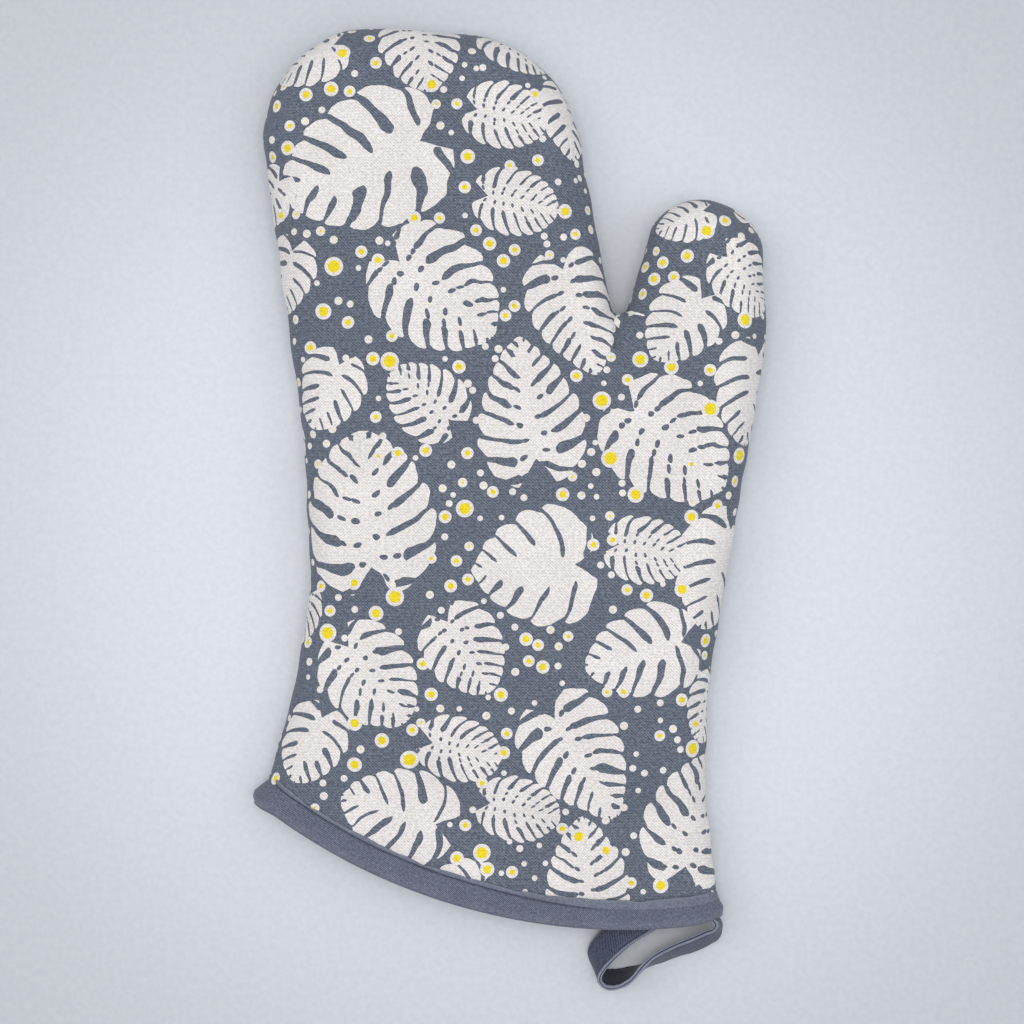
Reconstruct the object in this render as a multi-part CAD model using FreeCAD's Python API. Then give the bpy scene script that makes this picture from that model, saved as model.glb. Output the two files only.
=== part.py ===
import FreeCAD, Part
import math
import os

# Oven mitt lying on its back panel, in millimetres.
# +X towards the thumb side, +Y towards the fingertips, +Z out of the front panel.
# The mitt is a nest of flat, round-edged slabs: canvas shell, wadding, lining and the hand space.

TOTAL_THICKNESS = 28.0    # front face to back face, padded and lying flat
EDGE_ROUND = 12.0         # rounding of the outer faces into the side seam
SHELL = 0.8               # canvas thickness
BATTING = 4.2             # wadding thickness
LINING = 0.6              # lining thickness
WALL = SHELL + BATTING + LINING
MID = TOTAL_THICKNESS / 2.0

# Hem: the cuff ends on a shallow arc, lower on the thumb side.
HEM_CENTRE = (42.0, 67.6)
HEM_RADIUS = 220.0
BINDING_WIDTH = 10.0      # how far the folded tape reaches up the cuff
BINDING_PLY = 0.8         # one ply of the folded tape
THREAD = 0.3              # sewing thread as it shows on the surface
STITCH_INSET = 1.5        # topstitch to the binding's upper edge

SEAM_HALF = 0.8           # half of the sewn allowance's thickness at the side seam

# Outline of the laid-flat mitt: corner x, corner y, rounding radius.
OUTLINE = [
    (-102.4, -140.5, 0.0),
    (-81.4, -71.4, 55.0),
    (-73.8, -30.3, 84.0),
    (-76.3, 24.9, 255.0),
    (-97.8, 179.7, 41.0),
    (18.2, 170.6, 46.5),
    (38.5, 63.0, 2.7),
    (52.0, 107.0, 13.8),
    (68.3, 115.0, 16.7),
    (91.2, 105.6, 18.2),
    (93.4, 61.2, 62.0),
    (72.3, -62.3, 95.0),
    (70.9, -102.3, 109.0),
    (83.0, -200.4, 0.0),
]

# Hinge lines, seen from above.  Each has a point and the direction towards the moving tip.
CROTCH = (38.9, 72.3)
FINGER_POINT = (-24.3, 82.5)
FINGER_TOWARDS_TIP = (-0.130, 0.9915)
FINGER_RANGE = 60.0
THUMB_POINT = (39.2, 71.9)
THUMB_TOWARDS_TIP = (0.524, 0.8517)
THUMB_RANGE = 45.0
HINGE_GAP = 0.2           # half of the gap left between two bodies at the mid plane

# Hanging loop: folded tape standing mostly on edge.
TAPE_PLY = 1.8
TAPE_WIDTH = 12.2
LOOP_ENDS_LENGTH = 11.0
LOOP_ENDS_TOP = (68.9, -133.5)
CUFF_SIDE_DOWN = (0.1225, -0.9925)

# Stations along the tape from its outer root, round the far end, to its inner root:
# upper edge x, y, z and lower edge x, y, z.
TAPE_STATIONS = [
    ((66.0, -147.6, 20.2), (66.0, -147.7, 8.0)),
    ((66.2, -151.8, 20.0), (66.6, -152.2, 7.8)),
    ((68.6, -154.6, 18.0), (71.4, -156.0, 6.2)),
    ((67.2, -156.6, 15.6), (71.2, -159.6, 4.5)),
    ((62.3, -158.8, 13.9), (65.6, -163.7, 3.3)),
    ((55.4, -162.0, 13.2), (57.2, -167.0, 2.2)),
    ((49.5, -166.1, 13.0), (50.6, -170.0, 1.5)),
    ((45.3, -171.0, 13.0), (46.2, -172.9, 1.0)),
    ((41.3, -174.8, 12.9), (42.2, -175.8, 0.8)),
    ((36.8, -176.2, 12.9), (37.0, -176.6, 0.7)),
    ((33.0, -174.6, 12.7), (32.2, -175.2, 0.6)),
    ((32.2, -171.4, 12.5), (30.0, -170.6, 0.6)),
    ((35.0, -168.0, 11.8), (28.8, -165.0, 1.7)),
    ((40.3, -163.3, 12.2), (31.4, -157.6, 6.4)),
    ((47.5, -157.6, 15.4), (39.8, -150.0, 10.4)),
    ((56.3, -151.8, 17.9), (51.6, -145.4, 9.5)),
    ((62.6, -148.3, 20.2), (62.6, -148.0, 8.0)),
]

FAR = 400.0


def vec(x, y, z=0.0):
    return FreeCAD.Vector(x, y, z)


def unit(x, y):
    length = math.hypot(x, y)
    return x / length, y / length


def inward_normal(start, end):
    """Left-hand normal turned inwards: the outline runs clockwise seen from above."""
    dx, dy = unit(end[0] - start[0], end[1] - start[1])
    return dy, -dx


def line_meet(p, d, q, e):
    """Crossing point of the line through p along d and the line through q along e."""
    cross = d[0] * e[1] - d[1] * e[0]
    along = ((q[0] - p[0]) * e[1] - (q[1] - p[1]) * e[0]) / cross
    return p[0] + along * d[0], p[1] + along * d[1]


def inset_corners(corners, inset):
    """The same outline moved inwards by inset, with its roundings kept concentric."""
    result = []
    count = len(corners)
    for i in range(count):
        before = corners[i - 1]
        here = corners[i]
        after = corners[(i + 1) % count]
        d1 = unit(here[0] - before[0], here[1] - before[1])
        d2 = unit(after[0] - here[0], after[1] - here[1])
        n1 = inward_normal(before, here)
        n2 = inward_normal(here, after)
        p1 = (here[0] + n1[0] * inset, here[1] + n1[1] * inset)
        p2 = (here[0] + n2[0] * inset, here[1] + n2[1] * inset)
        x, y = line_meet(p1, d1, p2, d2)
        convex = d1[0] * d2[1] - d1[1] * d2[0] < 0.0
        radius = here[2]
        if radius > 0.0:
            radius = radius - inset if convex else radius + inset
        result.append((x, y, radius))
    return result


def outline_wire(corners, z):
    """Closed wire of straight runs joined by tangent arcs."""
    count = len(corners)
    arcs = []
    for i in range(count):
        x, y, radius = corners[i]
        if radius == 0.0:
            arcs.append((vec(x, y, z), None, vec(x, y, z)))
            continue
        bx, by = unit(corners[i - 1][0] - x, corners[i - 1][1] - y)
        after = corners[(i + 1) % count]
        ax, ay = unit(after[0] - x, after[1] - y)
        half_angle = math.acos(bx * ax + by * ay) / 2.0
        tangent = radius / math.tan(half_angle)
        mx, my = unit(bx + ax, by + ay)
        to_centre = radius / math.sin(half_angle)
        start = vec(x + bx * tangent, y + by * tangent, z)
        end = vec(x + ax * tangent, y + ay * tangent, z)
        middle = vec(x + mx * (to_centre - radius), y + my * (to_centre - radius), z)
        arcs.append((start, middle, end))
    edges = []
    for i in range(count):
        start, middle, end = arcs[i]
        if middle is not None:
            edges.append(Part.Arc(start, middle, end).toShape())
        next_start = arcs[(i + 1) % count][0]
        if end.distanceToPoint(next_start) > 1e-4:
            edges.append(Part.LineSegment(end, next_start).toShape())
    return Part.Wire(edges)


def slab(inset):
    """Round-edged slab that lies inset below every outer face of the mitt."""
    corners = inset_corners(OUTLINE, inset)
    height = TOTAL_THICKNESS - 2.0 * inset
    face = Part.Face(outline_wire(corners, inset))
    body = face.extrude(vec(0.0, 0.0, height))
    rims = []
    for edge in body.Edges:
        box = edge.BoundBox
        flat = box.ZLength < 1e-4
        if flat and (abs(box.ZMin - inset) < 1e-3 or abs(box.ZMin - inset - height) < 1e-3):
            rims.append(edge)
    return body.makeFillet(EDGE_ROUND - inset, rims)


def hem_disc(radius, z_low=-5.0, z_high=40.0):
    centre = vec(HEM_CENTRE[0], HEM_CENTRE[1], z_low)
    return Part.makeCylinder(radius, z_high - z_low, centre)


def hem_ring(inner, outer, z_low=-5.0, z_high=40.0):
    return hem_disc(outer, z_low, z_high).cut(hem_disc(inner, z_low, z_high))


def prism_across(point, towards_tip, profile):
    """Prism along a hinge line.  profile holds (distance towards the tip, height) pairs."""
    tx, ty = unit(*towards_tip)
    along = vec(ty, -tx, 0.0)
    origin = vec(point[0], point[1], 0.0) - along * FAR
    corners = [origin + vec(tx * d, ty * d, z) for d, z in profile]
    face = Part.Face(Part.makePolygon(corners + [corners[0]]))
    return face.extrude(along * (2.0 * FAR))


def beyond_hinge(point, towards_tip, gap, half_notch_deg):
    """Everything past a hinge line, less a notch that opens away from the mid plane."""
    reach = 40.0
    run = reach * math.tan(math.radians(half_notch_deg))
    profile = [
        (gap, MID),
        (gap + run, MID + reach),
        (FAR, MID + reach),
        (FAR, MID - reach),
        (gap + run, MID - reach),
    ]
    return prism_across(point, towards_tip, profile)


def box_between(low, high):
    size = [high[i] - low[i] for i in range(3)]
    return Part.makeBox(size[0], size[1], size[2], vec(*low))


def tape_section(index):
    """Rectangle across the tape at one station."""
    top, low = [vec(*p) for p in TAPE_STATIONS[index]]
    before = TAPE_STATIONS[max(index - 1, 0)]
    after = TAPE_STATIONS[min(index + 1, len(TAPE_STATIONS) - 1)]
    centre_before = (vec(*before[0]) + vec(*before[1])) * 0.5
    centre_after = (vec(*after[0]) + vec(*after[1])) * 0.5
    centre = (top + low) * 0.5
    travel = centre_after - centre_before
    across = top - low
    across.normalize()
    normal = travel.cross(across)
    normal.normalize()
    half_width = across * (TAPE_WIDTH / 2.0)
    half_ply = normal * (TAPE_PLY / 2.0)
    corners = [
        centre + half_width + half_ply,
        centre + half_width - half_ply,
        centre - half_width - half_ply,
        centre - half_width + half_ply,
    ]
    return Part.makePolygon(corners + [corners[0]])


def save(name, shape):
    shape = shape.removeSplitter()
    assert shape.isValid(), name
    solids = len(shape.Solids)
    print("%-26s solids %d  volume %10.1f" % (name, solids, shape.Volume))
    shape.exportStep("parts/%s.step" % name)


os.makedirs("parts", exist_ok=True)

# Nested slabs, from the canvas face inwards.
outside = slab(0.0)
under_shell = slab(SHELL)
under_two_plies = slab(SHELL + BINDING_PLY)
under_batting = slab(SHELL + BATTING)
hand_space = slab(WALL)
inside_binding = slab(WALL + BINDING_PLY)

# The walls stop one ply short of the hem, inside the folded binding.
wall_end = HEM_RADIUS - BINDING_PLY
binding_top = HEM_RADIUS - BINDING_WIDTH
step = binding_top - SHELL

# Canvas: full face above the binding, stepped one ply inwards beneath it.
shell = outside.cut(under_shell).common(hem_disc(binding_top))
shell_hem = under_shell.cut(under_two_plies).common(hem_ring(step, wall_end))
shell = shell.fuse(shell_hem)

# Wadding, thinner under the binding.
batting = under_shell.cut(under_batting).common(hem_disc(step))
batting_hem = under_two_plies.cut(under_batting).common(hem_ring(step - 0.5, wall_end))
batting = batting.fuse(batting_hem)

# The side seam's allowance lies between the two waddings.
seam_level = box_between((-FAR, -FAR, MID - SEAM_HALF), (FAR, FAR, MID + SEAM_HALF))
allowance = batting.common(seam_level)
batting = batting.cut(seam_level)

lining = under_batting.cut(hand_space).common(hem_disc(wall_end))

# Folded binding: outer ply, hem fold and inner ply, with its topstitch sunk in both faces.
binding = outside.cut(inside_binding).common(hem_ring(binding_top, HEM_RADIUS))
wall_core = under_shell.cut(hand_space).common(hem_ring(binding_top - 1.0, wall_end))
binding = binding.cut(wall_core)
stitch_radius = binding_top + STITCH_INSET
stitch_front = hem_ring(stitch_radius, stitch_radius + 2.0 * THREAD,
                        TOTAL_THICKNESS - THREAD, TOTAL_THICKNESS)
stitch_back = hem_ring(stitch_radius, stitch_radius + 2.0 * THREAD, 0.0, THREAD)
stitch_span = box_between((-68.0, -200.0, -1.0), (60.0, -100.0, TOTAL_THICKNESS + 1.0))
topstitch = Part.makeCompound([stitch_front.common(stitch_span), stitch_back.common(stitch_span)])
binding = binding.cut(topstitch)

# Loop ends: two plies sewn one on the other against the cuff's thumb-side wall.
down = vec(CUFF_SIDE_DOWN[0], CUFF_SIDE_DOWN[1], 0.0)
inwards = vec(CUFF_SIDE_DOWN[1], -CUFF_SIDE_DOWN[0], 0.0)
ends_corner = vec(LOOP_ENDS_TOP[0], LOOP_ENDS_TOP[1], MID - TAPE_WIDTH / 2.0)
ends_profile = [
    ends_corner,
    ends_corner + down * LOOP_ENDS_LENGTH,
    ends_corner + down * LOOP_ENDS_LENGTH + inwards * (2.0 * TAPE_PLY),
    ends_corner + inwards * (2.0 * TAPE_PLY),
]
ends_face = Part.Face(Part.makePolygon(ends_profile + [ends_profile[0]]))
loop_ends = ends_face.extrude(vec(0.0, 0.0, TAPE_WIDTH)).common(inside_binding)

# Bar of thread across the loop ends, on the side that faces the hand space.
bar_corner = ends_corner + down * 4.5 + inwards * (2.0 * TAPE_PLY) + vec(0.0, 0.0, 1.6)
bar_profile = [
    bar_corner,
    bar_corner + down * 2.0,
    bar_corner + down * 2.0 + inwards * 0.4,
    bar_corner + inwards * 0.4,
]
bar_face = Part.Face(Part.makePolygon(bar_profile + [bar_profile[0]]))
bartack = bar_face.extrude(vec(0.0, 0.0, TAPE_WIDTH - 3.2))

loop_tape = Part.makeLoft([tape_section(i) for i in range(len(TAPE_STATIONS))], True, True)

# Regions of the three soft bodies.  The finger notch is shared by both sides of its hinge,
# the thumb notch is all on the thumb's side.
left_of_crotch = box_between((-FAR, -FAR, -50.0), (CROTCH[0], FAR, 80.0))
right_of_crotch = box_between((CROTCH[0], -FAR, -50.0), (FAR, FAR, 80.0))
finger_notch = FINGER_RANGE / 2.0 + 1.0
thumb_notch = THUMB_RANGE + 1.0
finger_region = beyond_hinge(FINGER_POINT, FINGER_TOWARDS_TIP, HINGE_GAP, finger_notch)
finger_region = finger_region.common(left_of_crotch)
thumb_region = beyond_hinge(THUMB_POINT, THUMB_TOWARDS_TIP, HINGE_GAP, thumb_notch)
thumb_region = thumb_region.common(right_of_crotch)
finger_and_notch = prism_across(FINGER_POINT, FINGER_TOWARDS_TIP, [
    (-HINGE_GAP, MID),
    (-HINGE_GAP - 40.0 * math.tan(math.radians(finger_notch)), MID + 40.0),
    (FAR, MID + 40.0),
    (FAR, MID - 40.0),
    (-HINGE_GAP - 40.0 * math.tan(math.radians(finger_notch)), MID - 40.0),
]).common(left_of_crotch)
thumb_and_notch = prism_across(THUMB_POINT, THUMB_TOWARDS_TIP, [
    (-HINGE_GAP, MID - 40.0),
    (-HINGE_GAP, MID + 40.0),
    (FAR, MID + 40.0),
    (FAR, MID - 40.0),
]).common(right_of_crotch)

front_half = box_between((-FAR, -FAR, MID), (FAR, FAR, 80.0))
back_half = box_between((-FAR, -FAR, -50.0), (FAR, FAR, MID))


def by_body(layer):
    return {
        "palm": layer.cut(finger_and_notch).cut(thumb_and_notch),
        "fingers": layer.common(finger_region),
        "thumb": layer.common(thumb_region),
    }


for layer_name, layer in (("shell", shell), ("batting", batting), ("lining", lining)):
    for body_name, solid in by_body(layer).items():
        save("%s_front_%s" % (layer_name, body_name), solid.common(front_half))
        save("%s_back_%s" % (layer_name, body_name), solid.common(back_half))
for body_name, solid in by_body(allowance).items():
    save("seam_allowance_%s" % body_name, solid)
save("cuff_binding", binding)
save("binding_topstitch", topstitch)
save("loop_ends", loop_ends)
save("loop_bartack", bartack)
save("loop_tape", loop_tape)
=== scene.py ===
"""Looks of the oven mitt: printed canvas shells, wadding, lining, bound cuff and hanging loop.

Lengths are in millimetres until a mesh is made, and in metres from there on.
The mitt lies on its back panel: +X is the thumb side, +Y the fingertips, +Z the front panel.
"""

import math

import bmesh
import bpy
import numpy as np
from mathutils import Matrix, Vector, geometry
from mathutils.bvhtree import BVHTree
from mathutils.kdtree import KDTree


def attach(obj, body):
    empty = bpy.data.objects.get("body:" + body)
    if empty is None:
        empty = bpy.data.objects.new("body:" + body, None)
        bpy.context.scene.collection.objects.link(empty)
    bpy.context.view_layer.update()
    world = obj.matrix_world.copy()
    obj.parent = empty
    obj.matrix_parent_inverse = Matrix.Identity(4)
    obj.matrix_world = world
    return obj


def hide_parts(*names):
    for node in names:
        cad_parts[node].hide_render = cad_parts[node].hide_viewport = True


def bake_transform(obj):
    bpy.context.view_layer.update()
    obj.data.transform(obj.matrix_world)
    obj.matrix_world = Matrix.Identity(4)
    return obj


MM = 0.001

# Outline of the mitt laid flat: corner x, corner y, rounding radius.  It runs clockwise from
# below the cuff's outer corner, over the fingertips and thumb, to below the cuff's thumb corner.
OUTLINE = [
    (-102.4, -140.5, 0.0),
    (-81.4, -71.4, 55.0),
    (-73.8, -30.3, 84.0),
    (-76.3, 24.9, 255.0),
    (-97.8, 179.7, 41.0),
    (18.2, 170.6, 46.5),
    (38.5, 63.0, 2.7),
    (52.0, 107.0, 13.8),
    (68.3, 115.0, 16.7),
    (91.2, 105.6, 18.2),
    (93.4, 61.2, 62.0),
    (72.3, -62.3, 95.0),
    (70.9, -102.3, 109.0),
    (83.0, -200.4, 0.0),
]
HEM_CENTRE = np.array([42.0, 67.6])
HEM_RADIUS = 220.0

HALF_THICKNESS = 14.0     # of the padded mitt at its fullest
EDGE_ROUND = 13.0         # rounding of the faces into the side seam
EDGE_HEIGHT = 12.6        # how much of the half thickness that rounding makes
CROWN = 1.5               # extra swell towards the middle
CUFF_SLACK = 0.24         # share of the thickness that the empty cuff has lost
CUFF_LENGTH = 110.0       # how far up from the hem that loss fades out
SEAM_GROOVE = 1.1         # how deep the side seam pulls in
SHELL_HEM = 5.5           # how far above the hem the canvas ends, inside the binding
LAYER_HEM = 6.0           # the same for the hidden layers
THUMB_FROM_X = 39.3       # the thumb pieces lie past its root line, and past this x
ROOT_FROM_X = 38.0        # from this x on, grid points keep clear of the root line
THUMB_WITHIN = 180.0      # the root line ends within this distance of the hem's centre
PUFF_FRAMES = 20          # of the padding's cloth simulation
PUFF_HEM = 14.0           # how far up from the hem the simulation is held
PUFF_LIMIT = 2.2          # furthest that it may move the canvas

YELLOW_FROM = 1.42        # a dot larger than this has a yellow centre
YELLOW_RING = 1.15        # width of the white ring round it
THREAD_RELIEF = 0.00016   # depth of the weave, in metres

# Bends: a point on each hinge line and the direction towards the moving tip.
THUMB_POINT = np.array([39.2, 71.9])
THUMB_DIR = np.array([0.524, 0.8517])
THUMB_ALONG = np.array([0.8517, -0.524])


# ---------------------------------------------------------------- plan geometry

def unit(v):
    return v / np.linalg.norm(v)


def unit_rows(v):
    return v / np.maximum(np.linalg.norm(v, axis=1), 1e-12)[:, None]


def run_lengths(points):
    """Distance along a polyline at each of its points."""
    return np.concatenate([[0.0], np.cumsum(np.linalg.norm(np.diff(points, axis=0), axis=1))])


def from_centre(points):
    """Distance from the hem's centre, which is HEM_RADIUS at the hem."""
    return np.linalg.norm(points - HEM_CENTRE, axis=1)


def inset_corners(corners, inset):
    """The outline moved inwards by inset, its roundings kept concentric."""
    result = []
    for i, (x, y, radius) in enumerate(corners):
        here = np.array([x, y])
        d1 = unit(here - np.array(corners[i - 1][:2]))
        d2 = unit(np.array(corners[(i + 1) % len(corners)][:2]) - here)
        n1 = np.array([d1[1], -d1[0]])
        n2 = np.array([d2[1], -d2[0]])
        turn = d1[0] * d2[1] - d1[1] * d2[0]
        p1, p2 = here + n1 * inset, here + n2 * inset
        gap = p2 - p1
        along = (gap[0] * d2[1] - gap[1] * d2[0]) / turn
        meet = p1 + d1 * along
        if radius > 0.0:
            radius += inset if turn > 0.0 else -inset
        result.append((meet[0], meet[1], radius))
    return result


def outline_points(inset, spacing):
    """Open polyline up one side, over the tips and down the other, inset from the outline."""
    corners = inset_corners(OUTLINE, inset)
    runs = []
    for i in range(1, len(corners) - 1):
        here = np.array(corners[i][:2])
        back = unit(np.array(corners[i - 1][:2]) - here)
        ahead = unit(np.array(corners[i + 1][:2]) - here)
        radius = corners[i][2]
        half = math.acos(np.clip(back @ ahead, -1, 1)) / 2.0
        centre = here + unit(back + ahead) * radius / math.sin(half)
        start = here + back * radius / math.tan(half) - centre
        end = here + ahead * radius / math.tan(half) - centre
        a0 = math.atan2(start[1], start[0])
        sweep = (math.atan2(end[1], end[0]) - a0 + math.pi) % (2 * math.pi) - math.pi
        steps = max(3, int(abs(sweep) * radius / spacing + 0.5))
        angles = a0 + sweep * np.linspace(0, 1, steps + 1)
        runs.append(centre + radius * np.stack([np.cos(angles), np.sin(angles)], 1))
    first, last = np.array(corners[0][:2]), np.array(corners[-1][:2])
    points = [first]
    for target in runs + [last[None]]:
        base = points[-1]
        gap = target[0] - base
        steps = max(1, int(np.linalg.norm(gap) / spacing + 0.5))
        points.extend([base + gap * k / steps for k in range(1, steps)])
        points.extend(target)
    return np.array(points)


EDGE_LINE = outline_points(0.0, 0.6)
EDGE_LINE = EDGE_LINE[from_centre(EDGE_LINE) < HEM_RADIUS + 14.0]
EDGE_TREE = KDTree(len(EDGE_LINE))
for number, edge_point in enumerate(EDGE_LINE):
    EDGE_TREE.insert((edge_point[0], edge_point[1], 0.0), number)
EDGE_TREE.balance()


def edge_distance(points):
    """Signed distance inside the side seam, and the outward direction there."""
    nearest = np.array([EDGE_TREE.find((x, y, 0.0))[1] for x, y in points])
    distance = np.full(len(points), 1e9)
    outward = np.zeros((len(points), 2))
    for step in (-1, 0):
        first = np.clip(nearest + step, 0, len(EDGE_LINE) - 2)
        a = EDGE_LINE[first]
        ab = EDGE_LINE[first + 1] - a
        t = np.clip(((points - a) * ab).sum(1) / (ab ** 2).sum(1), 0.0, 1.0)
        away = a + ab * t[:, None] - points
        normal = unit_rows(np.stack([-ab[:, 1], ab[:, 0]], 1))
        signed = np.linalg.norm(away, axis=1) * np.where((away * normal).sum(1) >= 0.0, 1.0, -1.0)
        closer = np.abs(signed) < np.abs(distance)
        distance = np.where(closer, signed, distance)
        outward = np.where(closer[:, None], normal, outward)
    return distance, outward


def past_thumb_line(points):
    return (points - THUMB_POINT) @ THUMB_DIR


def on_thumb(points):
    return (past_thumb_line(points) > 0.0) & (points[:, 0] > THUMB_FROM_X)


def gap_stops(stops, step):
    """Evenly spaced stops that fill the widest gap in a sorted list."""
    gaps = np.diff(stops)
    widest = int(gaps.argmax())
    number = max(1, int(gaps[widest] / step + 0.5))
    return stops[widest] + gaps[widest] * np.arange(1, number) / number


# How far round into the side seam the rows of points go.
ROUNDED_ROWS_END = math.radians(74.0)

# The triangular grid's reach, and the finer patch of it under the creases at the crotch.
GRID_X = (-96.0, 96.0)
GRID_Y = (-156.0, 178.0)
CREASE_CENTRE = np.array([40.0, 62.0])
CREASE_RADIUS = 12.6
CREASE_SPACING = 0.8


def plan_mesh(inset, spacing, hem_radius, rows, split):
    """Triangles over the mitt's plan.  Rows of points follow the seam where the faces round
    over into it, a triangular grid fills the rest, and the thumb's root line is kept as edges."""
    rounding = EDGE_ROUND - inset
    points, distances, hem, cut = [], [], [], []

    def add(p, d):
        points.append(np.asarray(p, float))
        distances.append(d)
        return len(points) - 1

    border = []
    for k in range(rows + 1):
        d = rounding * (1.0 - math.cos(ROUNDED_ROWS_END * k / rows))
        line = outline_points(inset + d, spacing)
        radius = from_centre(line)
        past = past_thumb_line(line)
        along = (line - THUMB_POINT) @ THUMB_ALONG
        for i in range(len(line)):
            inside = radius[i] < hem_radius
            if inside:
                clear = abs(past[i]) > 0.4 * spacing or along[i] < 0.0
                if radius[i] < hem_radius - 0.4 * spacing and (clear or not split):
                    index = add(line[i], d)
                    if k == 0:
                        border.append(index)
            if i + 1 == len(line):
                continue
            if inside != (radius[i + 1] < hem_radius):
                t = (hem_radius - radius[i]) / (radius[i + 1] - radius[i])
                p = HEM_CENTRE + unit(line[i] * (1 - t) + line[i + 1] * t - HEM_CENTRE) * hem_radius
                index = add(p, d)
                hem.append(index)
                if k == 0:
                    border.append(index)
            crosses = (past[i] < 0.0) != (past[i + 1] < 0.0)
            if split and crosses and along[i] > 0.0 and radius[i] < THUMB_WITHIN:
                t = past[i] / (past[i] - past[i + 1])
                index = add(line[i] * (1 - t) + line[i + 1] * t, d)
                cut.append(index)
                if k == 0:
                    border.append(index)
    inner_d = rounding * (1.0 - math.cos(ROUNDED_ROWS_END))
    step_y = spacing * math.sqrt(0.75)
    ys = np.arange(*GRID_Y, step_y)
    grid = [(x + (spacing / 2 if j % 2 else 0.0), y)
            for j, y in enumerate(ys) for x in np.arange(*GRID_X, spacing)]
    grid = np.array(grid)
    grid = grid[from_centre(grid) < hem_radius - 0.6 * spacing]
    if split and spacing < 2.0:
        fine = np.array([(x, y) for x in np.arange(26.0, 54.0, CREASE_SPACING)
                         for y in np.arange(50.0, 75.0, CREASE_SPACING)])
        fine += np.random.default_rng(5).uniform(-0.1, 0.1, fine.shape)
        far = np.linalg.norm(grid - CREASE_CENTRE, axis=1) > CREASE_RADIUS + 0.2
        near = np.linalg.norm(fine - CREASE_CENTRE, axis=1) < CREASE_RADIUS - 0.2
        grid = np.concatenate([grid[far], fine[near]])
    depth = edge_distance(grid)[0] - inset
    keep = depth > inner_d + 0.6 * spacing
    if split:
        on_line = np.abs(past_thumb_line(grid)) < 0.45 * spacing
        keep &= ~(on_line & (grid[:, 0] > ROOT_FROM_X))
    for p, d in zip(grid[keep], depth[keep]):
        add(p, d)
    # Even points along the hem and along the thumb's root line, between the rows.
    angles = sorted(math.atan2(*(points[i] - HEM_CENTRE)[::-1]) for i in hem)
    for a in gap_stops(angles, spacing / hem_radius):
        p = HEM_CENTRE + hem_radius * np.array([math.cos(a), math.sin(a)])
        hem.append(add(p, edge_distance(p[None])[0][0] - inset))
    edges = []
    if split:
        reach = sorted((points[i] - THUMB_POINT) @ THUMB_ALONG for i in cut)
        for t in gap_stops(reach, spacing):
            p = THUMB_POINT + THUMB_ALONG * t
            cut.append(add(p, edge_distance(p[None])[0][0] - inset))
        cut.sort(key=lambda i: (points[i] - THUMB_POINT) @ THUMB_ALONG)
        edges += list(zip(cut[:-1], cut[1:]))
    hem.sort(key=lambda i: -math.atan2(*(points[i] - HEM_CENTRE)[::-1]))
    loop = border + hem[1:-1]
    edges += [(loop[i], loop[(i + 1) % len(loop)]) for i in range(len(loop))]
    made = geometry.delaunay_2d_cdt([Vector(p) for p in points], edges, [], 1, 1e-5)
    verts = np.array([v[:] for v in made[0]])
    faces = np.array([f for f in made[2] if len(f) == 3])
    d = np.array([distances[o[0]] if o else np.nan for o in made[3]])
    lost = np.isnan(d)
    if lost.any():
        d[lost] = edge_distance(verts[lost])[0] - inset
    tri = verts[faces]
    e1, e2 = tri[:, 1] - tri[:, 0], tri[:, 2] - tri[:, 0]
    area = e1[:, 0] * e2[:, 1] - e1[:, 1] * e2[:, 0]
    faces[area < 0] = faces[area < 0][:, ::-1]
    faces = faces[np.abs(area) > 1e-6]
    return verts, faces, np.maximum(d, 0.0)


def smooth(t):
    t = np.clip(t, 0.0, 1.0)
    return t * t * (3.0 - 2.0 * t)


def fullness(points):
    """1 over the hand, less towards the empty, flatter cuff."""
    from_hem = HEM_RADIUS - from_centre(points)
    return 1.0 - CUFF_SLACK * (1.0 - smooth(from_hem / CUFF_LENGTH))


def half_height(points, depth, inset=0.0):
    """Height of a layer's face above the mid plane, for points depth inside its own edge."""
    q = np.clip(depth / (EDGE_ROUND - inset), 0.0, 1.0)
    edge = (EDGE_HEIGHT - inset) * np.sqrt(1.0 - (1.0 - q) ** 2)
    crown = CROWN * smooth((depth + inset) / 48.0)
    return (edge + crown * (q > 0)) * fullness(points)


def padded_faces(plan, depth):
    """Front and back faces of the padded mitt over plan points, before any creases."""
    middle = HALF_THICKNESS * fullness(plan)
    height = half_height(plan, depth)
    return (np.column_stack([plan, middle + height]),
            np.column_stack([plan, np.maximum(middle - height, 0.2)]))


def soft_waves(points, phase):
    """Slow unevenness of stuffed cloth, about one unit high."""
    x, y = points[:, 0], points[:, 1]
    total = np.sin(x / 21.0 + y / 34.0 + phase) + np.sin(y / 17.0 - x / 43.0 + 2.1 * phase)
    total += 0.6 * np.sin(x / 9.5 - y / 14.0 + 1.3 + phase) + 0.5 * np.sin(x / 13.0 + y / 8.0 + phase)
    return total / 3.1


def valley(points, start, end, depth, width, power=1.0):
    """A pressed-in crease that fades out from start to end."""
    start, end = np.array(start), np.array(end)
    d = end - start
    t = np.clip(((points - start) @ d) / (d @ d), 0.0, 1.0)
    gap = np.linalg.norm(points - start - t[:, None] * d, axis=1)
    spread = width * (0.6 + 0.8 * t)
    return depth * (1.0 - t) ** power * np.exp(-(gap / spread) ** 2)


def crotch_creases(points):
    """Creases that run out from the stitched point between thumb and fingers."""
    total = valley(points, (39.0, 73.0), (37.0, 54.0), 6.5, 1.1)
    total += valley(points, (40.2, 72.4), (54.0, 68.5), 4.0, 1.1)
    total += valley(points, (40.2, 72.0), (50.0, 54.0), 2.0, 2.0)
    total += valley(points, (38.0, 73.0), (27.0, 65.0), 1.8, 1.9)
    total -= valley(points, (40.5, 70.0), (42.5, 56.0), 1.6, 1.5)
    return total


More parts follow.
